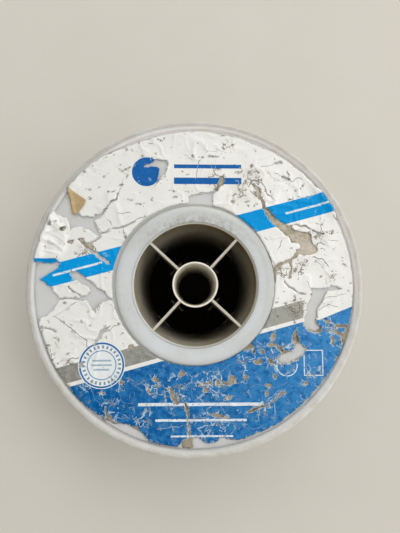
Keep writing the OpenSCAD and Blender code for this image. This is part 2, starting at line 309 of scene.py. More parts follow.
# Flakes that came off down to the backing paper: x, y, half length, half width, turn
FLAKES = [
    (-22.4, -55.8, 2.0, 1.1, -40), (-7.8, -51.9, 1.7, 1.1, 10), (-12.6, -64.5, 4.2, 1.1, -62),
    (-26, -62.9, 1.9, 0.5, -50), (-43.1, -57.2, 1.1, 0.7, 15), (-53.1, -62.9, 0.9, 0.5, 0),
    (-4.9, -71.9, 1.4, 0.9, 90), (59, -30.5, 3.4, 1.0, 75), (46, -30, 2.0, 1.0, 70),
    (45.5, -35.5, 2.4, 0.7, -5), (50.5, -38.3, 2.0, 0.7, -40), (39.5, -40, 1.4, 0.9, 60),
    (37.1, -45.4, 2.1, 1.3, 10), (44.6, -45.3, 2.0, 0.5, -30), (32.6, -36.8, 1.9, 0.7, 15),
    (34.3, -39.8, 1.0, 0.8, 60), (46.4, -53.6, 1.1, 0.9, 90), (21.4, -55, 1.7, 1.3, 5),
    (7, -57.8, 5.2, 0.7, 12), (19, -57.7, 4.6, 0.6, 2), (6.4, -61.4, 1.3, 0.8, 70),
    (17.9, -66.4, 1.7, 0.7, 20), (29.3, -54.3, 1.0, 0.8, 0), (42.9, -58.9, 0.9, 0.7, 0),
    (42.1, -63.6, 0.9, 0.7, 40), (14.3, -76.4, 2.7, 0.6, -5), (81.3, -32, 5.5, 0.6, -83),
    (84.5, -28.3, 2.4, 0.9, -30), (87.0, -32, 3.2, 0.8, -75), (85.5, -24.8, 6.0, 0.5, 4),
    (81, -22.8, 3.5, 0.5, -20), (65, -58, 1.0, 0.7, 40), (-37.9, -36.4, 1.5, 1.2, 30),
    (-66.5, -46.3, 1.5, 0.7, 80), (22.6, 50.2, 1.0, 0.8, 30), (-79, 33.4, 1.7, 1.4, 40),
    (-74.5, 25.7, 1.2, 0.9, 10), (35.6, 60.2, 1.8, 1.1, -45), (38.6, 56.4, 3.0, 1.1, -62),
]

# Dirt worked into the film: x, y, half length, half width, turn
SOILS = [
    (-42.3, 81.6, 1.0, 0.5, 50), (-64, 57.3, 1.1, 0.6, -20), (-63.8, 52.1, 1.1, 0.5, -20),
    (-53.4, 67.7, 0.6, 0.5, 0), (-54.9, 65.4, 0.6, 0.5, 0), (-49.4, 56.4, 0.8, 0.5, 30),
    (-44.7, 60.4, 1.3, 0.6, 20), (-40.2, 51.3, 2.0, 0.5, -12), (-34.4, 48.8, 2.5, 0.5, -8),
    (-83.2, 37.5, 0.6, 0.5, 0), (-71, 43.3, 0.8, 0.5, 0), (-70, 15, 2.4, 1.0, 60),
    (-70.9, 18.5, 0.8, 0.6, 0), (-67, 18.5, 2.4, 0.8, 30), (-55, 15.5, 3.0, 0.7, -42),
    (-42, 70, 2.5, 0.5, 30), (-44, 68.5, 2.0, 0.5, -35), (-41, 66.5, 1.6, 0.5, 80),
    (-23.8, 79.8, 0.7, 0.6, 0), (-32.2, 77.9, 0.7, 0.6, 0), (-19.4, 89.1, 0.6, 0.5, 0),
    (16.8, 91.6, 2.0, 0.9, 10), (31.9, 89.1, 0.8, 0.6, 0), (21.9, 85.2, 1.6, 0.5, 20),
    (34.2, 72.2, 1.2, 1.0, 40), (33, 68, 1.6, 0.7, -50), (38, 66, 1.0, 0.7, 0),
    (65.2, 60.3, 1.7, 0.5, 55), (60.4, 57, 0.6, 0.5, 0), (83.5, 32.6, 0.7, 0.6, 0),
    (87.2, 40.2, 0.7, 0.7, 0), (89.6, 12.1, 1.3, 0.5, -25), (75.3, 5, 0.8, 0.6, 0),
    (49, -8.2, 0.6, 0.5, 0), (48.4, -10.5, 0.6, 0.5, 0), (4.2, 77.4, 0.7, 0.6, 0),
    (17.3, 77.5, 0.6, 0.5, 0), (10, 78.5, 3.0, 0.5, -5), (14, 71, 1.4, 2.0, 60),
    (26, 68.5, 1.5, 0.7, 0), (-76.8, -10.8, 0.8, 0.5, 0), (-74.8, -14.3, 1.2, 0.5, 55),
    (-66.9, -20.8, 1.3, 0.4, 92), (-61.7, -24.2, 0.7, 0.5, 0), (-74.6, -40.4, 1.2, 0.5, 35),
    (-78.8, -45.4, 1.0, 0.5, 30), (-45, -23.3, 0.8, 0.5, 0), (-91.7, -20.8, 0.9, 0.8, 0),
    (-89.8, -26.5, 2.4, 0.9, 80), (-63.4, -16, 0.6, 0.6, 0), (-70, 75, 1.6, 0.5, 40),
    (50, 12, 2.6, 1.2, 20), (60, 9, 2.4, 0.9, 60), (65, 12, 1.6, 0.7, -30),
    (30, 62, 2.0, 0.7, 60), (27, 57, 1.6, 0.7, -60), (24, 54.5, 1.4, 0.6, 20),
    (31, 50, 1.4, 0.7, 20), (37.5, 57, 2.2, 2.6, 0), (-30, 41, 1.2, 0.5, 30),
    (-12, 53, 1.2, 0.5, -10),
]

# Where the film is crazed and dirty: x, y, radius
CRAZED = [
    (35, 66, 9), (27, 57, 9), (12, 64, 8), (52, 8, 9), (63, 12, 8), (76, 30, 7), (-66, 21, 7),
    (-84, -36, 8), (-72, 10, 6), (60, -14, 9), (82, 5, 6), (18, 85, 6), (-74, -44, 6),
    (-4, 57, 5), (38, 56, 6),
]

# Where the ink of the blue field has come off most: x, y, radius
WORN = [
    (50, -42, 15), (30, -45, 10), (82, -30, 10), (10, -59, 14), (-12, -62, 12), (-25, -58, 9),
    (40, -71, 8), (10, -80, 14), (-48, -74, 10), (-45, -57, 8), (70, -52, 8), (-64, -58, 7),
    (-30, -78, 8),
]


def zone(spots, places):
    """1 in the middle of each round place, falling to 0 at its edge."""
    got = np.zeros(len(spots))
    for x, y, radius in places:
        got = np.maximum(got, ramp(np.hypot(*(spots - (x, y)).T), radius, 0.3 * radius))
    return got


# The film's outer edge: angle in degrees, radius. Lifted parts lean on the rim.
OUTER_EDGE = [(0, 94.3), (24, 94.2), (27, 95.3), (37, 95.3), (39, 94.3), (58, 94.0),
              (66, 93.2), (72, 93.9), (80, 93.1), (88, 94.0), (100, 93.5), (112, 93.4),
              (120, 94.3), (128, 95.7), (148, 95.9), (171, 95.8), (176, 94.8), (190, 94.6),
              (200, 94.3), (216, 94.5), (284, 93.5), (305, 93.7), (325, 94.2), (345, 94.3),
              (360, 94.3)]
# How far the outer edge is lifted: angle in degrees, millimetres
OUTER_LIFT = [(0, 0), (23, 0.1), (30, 1.6), (36, 1.6), (42, 0.2), (60, 0.1), (100, 0.2),
              (118, 0.4), (128, 2.0), (146, 2.1), (158, 2.1), (170, 2.1), (176, 0.4),
              (200, 0.1), (260, 0), (360, 0)]

# Folds of the crumpled piece at the left: start, end, height, half width
FOLDS = [
    ((-94, 29.0), (-80, 33.8), 1.5, 0.8), ((-94, 28.6), (-85, 25.0), 1.2, 0.5),
    ((-86.5, 26.6), (-78.6, 20.6), 1.0, 0.6), ((-95, 21.8), (-80.5, 18.0), 1.0, 0.6),
    ((-87.5, 31.2), (-77.6, 25.6), 0.8, 0.5), ((-90, 39.4), (-82.6, 33.6), 0.8, 0.6),
    ((-92, 25.4), (-85, 23.4), -0.7, 0.6), ((-85, 29.4), (-80.5, 27.0), -0.7, 0.5),
    ((-92, 34), (-86, 36.8), 0.6, 0.5), ((-79, 30), (-73, 21), 0.5, 0.6),
]
# The outline of that piece
CRUMPLED = [(-99, 44), (-84, 42), (-78, 36), (-75, 30), (-76, 20), (-80.5, 13), (-99, 12)]


def angle_of(spots):
    """Degrees round the axis, from +X."""
    return np.degrees(np.arctan2(spots[:, 1], spots[:, 0])) % 360


def outline_gap(spots):
    """Millimetres of film from a spot out to the label's edge, and in to its hole."""
    radius = np.hypot(*spots.T)
    ragged = 0.5 * wander(spots, 2.6, 3) + 0.3 * wander(spots, 1.2, 13)
    outer = np.interp(angle_of(spots), *zip(*OUTER_EDGE)) + np.minimum(ragged, 0.1)
    hole = np.hypot(*(spots - HOLE_CENTRE).T) - HOLE_R + 0.25 * wander(spots, 1.6, 4)
    return outer - radius, np.minimum(hole, radius - COLLAR_R)


def tear_gap(spots):
    """Millimetres of film left between a spot and the nearest tear or crack."""
    rough = 0.5 * wander(spots, 1.3, 1) + 0.6 * wander(spots, 3.1, 2)
    got = np.full(len(spots), FAR)
    for outline in TEARS:
        got = np.minimum(got, to_line(spots, outline, True) + rough)
    bent = jagged(spots)
    for half, line in CRACKS:
        got = np.minimum(got, to_line(bent, line, False) - half + 0.3 * rough)
    return got


def jagged(spots):
    """The spots, pushed about so that a straight line becomes a jagged one."""
    pushes = [0.6 * wander(spots, 2.6, lane) + 0.32 * wander(spots, 1.1, lane + 2)
              for lane in (41, 42)]
    return spots + np.stack(pushes, 1)


def hairline_side(spots):
    """Millimetres to the nearest hairline, negative on one side, and half its width."""
    bent = jagged(spots)
    nearest = np.full(len(spots), FAR)
    side = np.full(len(spots), FAR)
    half_width = np.zeros(len(spots))
    for half, line in HAIRLINES:
        points = np.array(line, float)
        # No hairline reaches further than this from its own points
        close = np.all((bent > points.min(0) - 2) & (bent < points.max(0) + 2), axis=1)
        rows = np.flatnonzero(close)
        here = bent[rows]
        for step, (a, b) in enumerate(zip(points, points[1:])):
            length = np.hypot(*(b - a))
            way = (b - a) / length
            run = (here - a) @ way
            away = (here - a) @ (-way[1], way[0])
            past = np.hypot(np.clip(-run, 0, None) + np.clip(run - length, 0, None), away)
            ends = np.zeros(len(here))
            if step == 0:
                ends = np.maximum(ends, -run)
            if step == len(points) - 2:
                ends = np.maximum(ends, run - length)
            better = past < nearest[rows]
            chosen = rows[better]
            nearest[chosen] = past[better]
            side[chosen] = np.copysign(past, away)[better]
            fade = ramp(past, 1.3, 1.0) * ramp(ends, 0.7, 0.0)
            half_width[chosen] = (half * fade)[better]
    return side, half_width


def flake_gap(spots):
    """Millimetres of film left between a spot and the nearest flake."""
    rough = 0.45 * wander(spots, 1.1, 14) + 0.55 * wander(spots, 2.4, 15)
    got = np.full(len(spots), FAR)
    for mark in FLAKES:
        got = np.minimum(got, to_mark(spots, mark) + rough)
    return got


def torn_gap(spots):
    """Millimetres of film to the nearest tear, crack or flake."""
    return np.minimum(tear_gap(spots), flake_gap(spots))


def film_gap(spots):
    """Millimetres of film to its nearest edge, negative where there is none."""
    return np.minimum(torn_gap(spots), np.minimum(*outline_gap(spots)))


def film_lift(spots):
    """How far the film's top stands over where it would lie flat."""
    outer, _ = outline_gap(spots)
    torn = np.clip(tear_gap(spots), 0, FAR)
    # Torn edges curl up here and there
    curl = np.clip(0.1 + 1.2 * wander(spots, 9, 5), 0, 1)
    lift = (0.02 + 0.6 * curl) * np.exp(-torn / 1.3)
    # Blisters, and small bumps everywhere
    lift += 0.35 * np.clip(wander(spots, 15, 6) - 0.1, 0, 1)
    lift += 0.07 * (1 + wander(spots, 4.5, 7)) + 0.045 * (1 + wander(spots, 1.9, 8))
    # Broken creases, sharp along their tops
    for size, lane, height in ((13, 16, 0.5), (7, 18, 0.42)):
        crease = np.exp(-((wander(spots, size, lane) / 0.11) ** 2))
        lift += height * crease * ramp(wander(spots, 17, lane + 1), -0.1, 0.4)
    # The outer edge leans on the rim, and the crumpled piece stands in folds
    lift += np.interp(angle_of(spots), *zip(*OUTER_LIFT)) * ramp(outer, 5.0, -0.3)
    crumpled = ramp(-to_line(spots, CRUMPLED, True), 0.0, 2.5)
    height = 0.7 + 0.4 * wander(spots, 5, 9)
    for start, end, ridge, half in FOLDS:
        height += ridge * np.exp(-to_line(spots, [start, end], False) / (0.7 * half))
    # The lower edge of the crumpled piece bends down steeply
    height += 1.4 * ramp(spots[:, 1], 22, 16.2)
    height *= ramp(spots[:, 1], 13.2, 15.6) * 0.95 + 0.05
    return lift + crumpled * np.clip(height, 0, 2.4)


def print_slip(spots):
    """How far the print lies off its place, where a piece of film has moved."""
    x, y = spots.T
    # A strip at the left lies level, and a piece at the right has turned
    left = (19.0 + 0.262 * x) * ramp(x, -80.6, -82.4) * ramp(y, 12.0, 12.6) * ramp(y, 19, 17)
    right = (1.1 - 2.3 * (x - 76) / 18) * ramp(x, 71, 74) * ramp(y, -34, -30) * ramp(y, 4, 0)
    return left + right


def soil(spots):
    """Where dirt has settled on the film, from 0 to 1."""
    rough = 0.45 * wander(spots, 1.1, 11)
    got = np.full(len(spots), FAR)
    for mark in SOILS:
        got = np.minimum(got, to_mark(spots, mark) + rough)
    return ramp(got, 0.35, -0.25)


# Where tan backing paper is left on the plastic: outlines, inside which it lies
BACKINGS = [
    [(-92, -52), (-60, -52), (-34, -41), (0, -47), (34, -34), (60, -24), (90, -14),
     (91, -34), (84, -44), (70, -61), (50, -78), (30, -87), (0, -87), (-20, -92), (-30, -86),
     (-40, -80), (-60, -71), (-80, -55)],
    [(-8.4, -87), (-1.6, -87), (-1.4, -94), (-7.6, -94)],
    [(-55, -68), (-52.6, -76), (-46.5, -80.6), (-43, -80.4), (-46, -74)],
    [(32, 66), (32, 54.5), (40, 50), (40.2, 46), (44.6, 37.6), (51, 32), (57, 26), (62, 24.4),
     (63, 22), (59, 21), (46, 9), (46, 4), (58, 3), (60, 12), (74, 18), (74, 24), (71, 31),
     (60, 36), (52, 39), (46, 46), (44.6, 62), (38, 67)],
    [(11, 56), (14, 66.5), (18, 67.5), (18, 60), (13.5, 55)],
    [(-80, 36.5), (-76, 37), (-76.5, 32), (-80.5, 32)],
    [(-76.5, 27.5), (-72.5, 27), (-73, 24), (-76, 24)],
    [(-70, 29), (-66, 28), (-57, 21), (-60, 19), (-69, 26)],
    [(20, 53), (25, 52), (25, 48.6), (20, 48.8)], [(-41, -34), (-35, -34), (-35, -39), (-41, -39)],
]

# Holes in it that show the plastic
BACKING_HOLES = [
    [(61.4, -32), (63, -35), (66, -38), (64, -41.2), (59.4, -43.8), (56, -46.2), (50.2, -46.4),
     (48.8, -43.8), (50.6, -41.2), (54, -39.8), (58, -38.6), (60.4, -34)],
    [(64, -24), (65, -14), (73, -14), (71.8, -21), (73.8, -25.8), (71, -27.4), (66, -26)],
]


def backing_gap(spots):
    """Millimetres of backing paper to its nearest edge, negative where there is none."""
    rough = 0.5 * wander(spots, 1.6, 21) + 0.9 * wander(spots, 4.2, 22)
    inside = np.full(len(spots), -FAR)
    for outline in BACKINGS:
        inside = np.maximum(inside, -to_line(spots, outline, True) + rough)
    for outline in BACKING_HOLES:
        inside = np.minimum(inside, to_line(spots, outline, True) + 0.4 * rough)
    return np.minimum(inside, np.hypot(*(spots - HOLE_CENTRE).T) - HOLE_R)


def flat_spots(verts):
    """Where points lie on the label, as rows of x and y."""
    return np.array([vert.co.xy for vert in verts])


def sheet_mesh(grid, gap):
    """A flat grid cut to where gap is positive, with its edges drawn onto the cut."""
    half, cell = grid
    sheet = bmesh.new()
    count = round(2 * half / cell)
    bmesh.ops.create_grid(sheet, x_segments=count, y_segments=count, size=half)
    kept = gap(flat_spots(sheet.verts)) > 0
    lost = [vert for vert, keep in zip(sheet.verts, kept) if not keep]
    bmesh.ops.delete(sheet, geom=lost, context="VERTS")
    drop_strays(sheet)
    # Each edge point moves down the slope of the gap until the gap is nothing
    step = 0.05
    for _ in range(3):
        rim = [vert for vert in sheet.verts if vert.is_boundary]
        spots = flat_spots(rim)
        here = gap(spots)
        slope = np.stack([gap(spots + (step, 0)) - here, gap(spots + (0, step)) - here], 1) / step
        steep = np.maximum((slope**2).sum(1), 0.25)
        moves = -slope * np.clip(here, -cell, cell)[:, None] / steep[:, None]
        for vert, move in zip(rim, moves):
            vert.co.x += move[0]
            vert.co.y += move[1]
    return sheet


def drop_strays(sheet):
    """Deletes edges and points that no face uses, pinched corners and tiny islands."""
    pinched = True
    while pinched:
        loose = [edge for edge in sheet.edges if not edge.link_faces]
        bmesh.ops.delete(sheet, geom=loose, context="EDGES")
        loose = [vert for vert in sheet.verts if not vert.link_faces]
        bmesh.ops.delete(sheet, geom=loose, context="VERTS")
        pinched = [vert for vert in sheet.verts
                   if sum(edge.is_boundary for edge in vert.link_edges) > 2]
        bmesh.ops.delete(sheet, geom=pinched, context="VERTS")
    seen = set()
    small = []
    for vert in sheet.verts:
        if vert in seen:
            continue
        group, todo = {vert}, [vert]
        while todo:
            for edge in todo.pop().link_edges:
                for other in edge.verts:
                    if other not in group:
                        group.add(other)
                        todo.append(other)
        seen |= group
        if len(group) < FEWEST_POINTS:
            small += group
    bmesh.ops.delete(sheet, geom=small, context="VERTS")


def make_piece(name, mesh_data, material, facts=None):
    """Turns a bmesh in millimetres into a smooth piece that rides on the spool."""
    bmesh.ops.scale(mesh_data, vec=(MM, MM, MM), verts=mesh_data.verts)
    mesh = bpy.data.meshes.new(name)
    mesh_data.to_mesh(mesh)
    mesh_data.free()
    for fact, values in (facts or {}).items():
        attribute = mesh.attributes.new(fact, "FLOAT", "POINT")
        attribute.data.foreach_set("value", np.asarray(values, np.float32))
    mesh.polygons.foreach_set("use_smooth", [True] * len(mesh.polygons))
    mesh.materials.append(material)
    piece = bpy.data.objects.new(name, mesh)
    bpy.context.scene.collection.objects.link(piece)
    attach(piece, "root")
    return piece


def thicken(sheet, thickness):
    """Makes a closed film of a sheet, which stays as its top."""
    made = bmesh.ops.extrude_face_region(sheet, geom=sheet.faces[:], use_keep_orig=True)
    lower = [item for item in made["geom"] if isinstance(item, bmesh.types.BMVert)]
    bmesh.ops.translate(sheet, vec=(0, 0, -thickness), verts=lower)
    bmesh.ops.recalc_face_normals(sheet, faces=sheet.faces)
    # The walls come in a new order each time, so the faces are put in that of their points
    sheet.verts.index_update()
    faces = sorted(sheet.faces, key=lambda face: sorted(vert.index for vert in face.verts))
    for place, face in enumerate(faces):
        face.index = place
    sheet.faces.sort()


def film_piece(material):
    """The printed film: torn, lifted, creased and crumpled."""
    sheet = sheet_mesh(FILM_GRID, film_gap)
    spots = flat_spots(sheet.verts)
    flat = WEB_Z + BACKING_T + FILM_T
    for vert, lift in zip(sheet.verts, film_lift(spots)):
        vert.co.z = min(flat + lift, FACE_Z + FILM_RISE)
    thicken(sheet, FILM_T)
    spots = flat_spots(sheet.verts)
    side, half_width = hairline_side(spots)
    facts = {"torn": torn_gap(spots), "slip": print_slip(spots), "soil": soil(spots),
             "crazed": zone(spots, CRAZED), "worn": zone(spots, WORN),
             "hairline": side, "hairline_half": half_width}
    return make_piece("printed_film", sheet, material, facts)


def backing_piece(material):
    """The paper and glue left on the web, a little under the film everywhere."""
    sheet = sheet_mesh(BACKING_GRID, backing_gap)
    spots = flat_spots(sheet.verts)
    lift = 0.03 * (1 + wander(spots, 2.2, 23))
    for vert, rise in zip(sheet.verts, lift):
        vert.co.z = WEB_Z + BACKING_T + rise - BACKING_SINK
    thicken(sheet, BACKING_T - BACKING_GAP)
    return make_piece("label_backing", sheet, material)


# The corner that is folded over, tan side up: its outline, from the fold to its tip
FOLDED_CORNER = [(-77.2, 58.9), (-65.6, 50.7), (-66.4, 48.2), (-69.4, 44.0), (-72.0, 41.6),
                 (-73.9, 43.2), (-75.4, 50.5)]
FOLD_LINE = ((-77.2, 58.6), (-73.9, 43.2))
# The middle of the grid that it is cut from
CORNER_AT = (-71.7, 51.0)


def folded_piece(material):
    """The folded corner, which lies on the lifted film."""
    centre = np.array(CORNER_AT)

    def corner_gap(spots):
        return 0.15 * wander(spots, 1.5, 31) - to_line(spots + centre, FOLDED_CORNER, True)

    sheet = sheet_mesh(CORNER_GRID, corner_gap)
    bmesh.ops.translate(sheet, vec=(*centre, 0), verts=sheet.verts)
    spots = flat_spots(sheet.verts)
    from_fold = to_line(spots, FOLD_LINE, False)
    low = WEB_Z + BACKING_T + 2 * FILM_T + 0.2
    rise = film_lift(spots) + 0.6 * np.exp(-((from_fold - 0.9) / 1.1) ** 2)
    rise += 0.1 * np.clip(from_fold - 4, 0, 4) - 0.8 * ramp(from_fold, 0.7, 0.0)
    rise += 0.12 * (1 + wander(spots, 3.0, 32))
    for vert, lift in zip(sheet.verts, rise):
        vert.co.z = min(low + lift, FACE_Z + CORNER_RISE)
    thicken(sheet, FILM_T)
    return make_piece("folded_corner", sheet, material)


# ------------------------------------------------------------------ materials


def srgb(code):
    """A linear colour from an sRGB hex code."""
    parts = [int(code[i:i + 2], 16) / 255 for i in (1, 3, 5)]
    return tuple(p / 12.92 if p < 0.04045 else ((p + 0.055) / 1.055) ** 2.4 for p in parts) + (1,)


def add(tree, kind, inputs=(), out=0, **settings):
    """Adds a node with its settings, fills or links its inputs and returns an output."""
    made = tree.nodes.new("ShaderNode" + kind)
    for name, value in settings.items():
        setattr(made, name, value)
    for key, value in inputs.items() if isinstance(inputs, dict) else enumerate(inputs):
        if isinstance(value, bpy.types.NodeSocket):
            tree.links.new(value, made.inputs[key])
        else:
            made.inputs[key].default_value = value
    return made.outputs[out] if len(made.outputs) else None


def new_material(name):
    """A material without nodes, and the object's own coordinates in millimetres."""
    material = bpy.data.materials.new(name)
    material.use_nodes = True
    tree = material.node_tree
    tree.nodes.clear()
    at = add(tree, "TexCoord", out="Object")
    at = add(tree, "VectorMath", {0: at, "Scale": 1 / MM}, operation="SCALE")
    return material, tree, at


def close_material(tree, base, layers, rough, bump, **constants):
    """Lays colours over the base, each as far as its mask says, in one Principled shader.

    Constants go straight onto the shader's sockets.
    """
    colour = srgb(base)
    for mask, code in layers:
        upper = srgb(code) if isinstance(code, str) else code
        colour = add(tree, "Mix", {0: mask, 6: colour, 7: upper}, 2, data_type="RGBA")
    inputs = {"Base Color": colour, "Roughness": rough, "Normal": bump}
    inputs.update({name.replace("_", " "): value for name, value in constants.items()})
    add(tree, "OutputMaterial", {"Surface": add(tree, "BsdfPrincipled", inputs)})


def graded(tree, at, way, start, end, low=0.0, high=1.0, measure="DOT_PRODUCT"):
    """A mask that changes along a direction or, measured by DISTANCE, away from a point."""
    run = add(tree, "VectorMath", (at, way), out="Value", operation=measure)
    return add(tree, "MapRange", (run, start, end, low, high))


def off_from(tree, value, middle):
    """How far a value lies from a middle, on either side."""
    off = add(tree, "Math", (value, middle), operation="SUBTRACT")
    return add(tree, "Math", (off,), operation="ABSOLUTE")


def ring_line(tree, flat, centre, radius, half):
    """1 on a thin printed ring."""
    away = add(tree, "VectorMath", (flat, (*centre, 0)), out="Value", operation="DISTANCE")
    return add(tree, "Math", (away, radius, half), operation="COMPARE")


def seal_ticks(tree, flat, centre, radius, half):
    """1 on the ticks of a printed ring."""
    band = ring_line(tree, flat, centre, radius, half)
    off = add(tree, "VectorMath", (flat, (*centre, 0)), operation="SUBTRACT")
    across, up = (add(tree, "SeparateXYZ", (off,), out=axis) for axis in "XY")
    angle = add(tree, "Math", (up, across), operation="ARCTAN2")
    wave = add(tree, "Math", (angle, SEAL_TICKS), operation="MULTIPLY")
    wave = add(tree, "Math", (wave,), operation="SINE")
    tick = add(tree, "Math", (wave, 0.25), operation="GREATER_THAN")
    return add(tree, "Math", (band, tick), operation="MULTIPLY")


def box_distance(tree, x, y, low, high):
    """Millimetres to a printed box, negative inside it."""
    sides = []
    for at, start, end in ((x, low[0], high[0]), (y, low[1], high[1])):
        off = off_from(tree, at, (start + end) / 2)
        sides.append(add(tree, "Math", (off, (end - start) / 2), operation="SUBTRACT"))
    return add(tree, "Math", sides, operation="MAXIMUM")


def plain_marks(tree, x, y, along, across, grain):
    """The disc and bars as a mask, then the layers of every mark on the ground colours."""
    flat = add(tree, "CombineXYZ", (x, y))
    marked = add(tree, "VectorMath", (flat, (*DISC_AT, 0)), out="Value", operation="DISTANCE")
    marked = add(tree, "Math", (marked, DISC_R), operation="SUBTRACT")
    for low, high in HEADING_BARS:
        bar = box_distance(tree, x, y, low, high)
        marked = add(tree, "Math", (marked, bar), operation="MINIMUM")
    marked = add(tree, "Math", (marked, 0.0), operation="LESS_THAN")
    seal = add(tree, "VectorMath", (flat, (*SEAL_AT, 0)), out="Value", operation="DISTANCE")
    seal = add(tree, "Math", (seal, SEAL_R), operation="LESS_THAN")
    layers = [(marked, "#1961A8"), (seal, "#E4E8E8"),
              (ring_line(tree, flat, SEAL_AT, 12.6, 0.5), "#1D66A6"),
              (ring_line(tree, flat, SEAL_AT, 8.3, 0.25), "#3F7FB4"),
              (seal_ticks(tree, flat, SEAL_AT, 10.5, 0.9), "#7A93A4")]
    for low, high in SEAL_BARS:
        bar = box_distance(tree, x, y, low, high)
        layers.append((add(tree, "Math", (bar, 0.0), operation="LESS_THAN"), "#9FB3C0"))
    # White rules and outlines, rubbed away on the grain of the paper
    rules = [box_distance(tree, x, y, low, high) for low, high in FIELD_RULES]
    rules += [box_distance(tree, along, across, low, high) for low, high in STRIPE_RULES]
    rules = [add(tree, "Math", (rule, 0.0), operation="LESS_THAN") for rule in rules]
    window = box_distance(tree, x, y, *WINDOW)
    rules.append(add(tree, "Math", (window, 0.0, OUTLINE_HALF), operation="COMPARE"))
    rules.append(ring_line(tree, flat, LOOP_AT, LOOP_R, OUTLINE_HALF))
    rubbed_and_painted_light = add(tree, "MapRange", (grain, 0.34, 0.42))
    for rule in rules:
        layers.append((add(tree, "Math", (rule, rubbed_and_painted_light), operation="MULTIPLY"), "#DFE6EA"))
    return marked, layers


def printed_film():
    """Offset print on a coated paper film, years old.

    The coating leaves a satin sheen. Old film cracks like varnish: white paper shows where
    the ink flaked, dirt lies in the cracks of the white, and torn edges show paper core.
    """
    material, tree, at = new_material("offset_printed_paper_film")
    x, y = (add(tree, "SeparateXYZ", (at,), out=axis) for axis in "XY")
    flat = add(tree, "CombineXYZ", (x, y))
    slip, torn, marks, crazed, worn, side, half_width = (
        add(tree, "Attribute", attribute_name=fact, out="Fac")
        for fact in ("slip", "torn", "soil", "crazed", "worn", "hairline", "hairline_half"))
    along, across = (
        add(tree, "VectorMath", (flat, way), out="Value", operation="DOT_PRODUCT")
        for way in (ALONG_STRIPES, ACROSS_STRIPES))
    across = add(tree, "Math", (across, slip), operation="ADD")

    # Slow changes of tone, grain, flecks, broken patches and frayed edges: size, detail, rough
    cloud, grain, flecks, broken, fray = (
        add(tree, "TexNoise", {"Vector": flat, "Scale": 1 / size, "Detail": detail,
                               "Roughness": rough})
        for size, detail, rough in ((22, 4, 0.6), (1.6, 3, 0.5), (1.5, 3, 0.6), (5, 3, 0.6),
                                    (2, 4, 0.65)))
    chipped = add(tree, "TexNoise", {"Vector": flat, "Scale": 1 / 2.8, "Detail": 6,
                                     "Roughness": 0.72, "Distortion": 0.4})
    # A bent copy of the coordinates, by up to 2 mm
    bend = add(tree, "TexNoise", {"Vector": flat, "Scale": 1 / 6, "Detail": 2}, out="Color")
    bend = add(tree, "VectorMath", (bend, (0.5, 0.5, 0.5)), operation="SUBTRACT")
    bend = add(tree, "VectorMath", {0: bend, "Scale": 4.0}, operation="SCALE")
    bent = add(tree, "VectorMath", (flat, bend), operation="ADD")
    mottle = add(tree, "TexNoise", {"Vector": bent, "Scale": 1 / 3.6, "Detail": 4,
                                    "Roughness": 0.6})

    # Print: white ground, light blue stripe, grey stripe and blue field
    light = add(tree, "Math", (across, *LIGHT_STRIPE), operation="COMPARE")
    field = add(tree, "Math", (across, FIELD_TOP), operation="LESS_THAN")
    grey = add(tree, "Math", (across, *GREY_STRIPE), operation="COMPARE")
    ragged_x = add(tree, "Math", (flecks, RAGGED_END, x), operation="MULTIPLY_ADD")
    before_end = add(tree, "Math", (ragged_x, GREY_END + RAGGED_END / 2), operation="LESS_THAN")
    grey = add(tree, "Math", (grey, before_end), operation="MULTIPLY")
    marked, mark_layers = plain_marks(tree, x, y, along, across, grain)

    # Inks and papers that vary from place to place: a base, then the tones over it
    # Lighter towards the right on the white and the grey stripe: painted light
    right = add(tree, "MapRange", (x, -60, 60))
    tint = add(tree, "MapRange", (mottle, 0.50, 0.56))
    tint = add(tree, "Math", (tint, field), operation="MULTIPLY")
    varied = []
    for base, tones in (
            # Lighter towards the upper right: a painted sheen on the blue
            ("#005998", ((graded(tree, flat, (1.0, 0.6, 0), -96, 60), "#3B86C4"),
                         (add(tree, "MapRange", (mottle, 0.47, 0.66, 0, 0.45)), "#4391C8"),
                         (add(tree, "MapRange", (mottle, 0.50, 0.34, 0, 0.6)), "#004A86"))),
            ("#85857E", ((right, "#A6A69E"),
                         (add(tree, "MapRange", (mottle, 0.44, 0.58, 0, 0.6)), "#A0A098"),
                         (add(tree, "MapRange", (flecks, 0.58, 0.68, 0, 0.5)), "#C4C4BC"))),
            ("#BBD2DF", ((tint, "#8F8A76"),)),
            ("#9A8F78", ((add(tree, "MapRange", (flecks, 0.4, 0.6)), "#6F654F"),))):
        tone = srgb(base)
        for mask, code in tones:
            tone = add(tree, "Mix", {0: mask, 6: tone, 7: srgb(code)}, 2, data_type="RGBA")
        varied.append(tone)
    blue_ink, grey_ink, scratch_paint, brown_paper = varied
    tone = add(tree, "MapRange", (cloud, 0.3, 0.7, 0, 0.5))
    layers = [(right, "#F7F6F1"), (tone, "#DFDFDA"), (light, "#0096DC"), (grey, grey_ink),
              (field, blue_ink), *mark_layers]

    # Crazing: cells of 7.5 and 3.2 mm with bent borders, broken up, most where it is worn
    wide_cells, fine_cells = (
        add(tree, "TexVoronoi", {"Vector": bent, "Scale": 1 / size}, feature="DISTANCE_TO_EDGE")
        for size in (7.5, 3.2))
    # Hairline cracks that run where the film has been bent
    hairline = add(tree, "Math", (side,), operation="ABSOLUTE")
    hairline = add(tree, "Math", (half_width, hairline), operation="SUBTRACT")
    hairline = add(tree, "Math", (flecks, 0.3, hairline), operation="MULTIPLY_ADD")
    hairline = add(tree, "MapRange", (hairline, 0.10, 0.25))
    # Short strokes: pieces of the lines where a stretched noise crosses its middle
    slant = add(tree, "VectorMath", (bent, (0.6, 1.0, 1.0)), operation="MULTIPLY")
    stretched = add(tree, "TexNoise", {"Vector": slant, "Scale": 1 / 3.4, "Detail": 2})
    strokes = add(tree, "MapRange", (off_from(tree, stretched, 0.5), 0.014, 0.006))

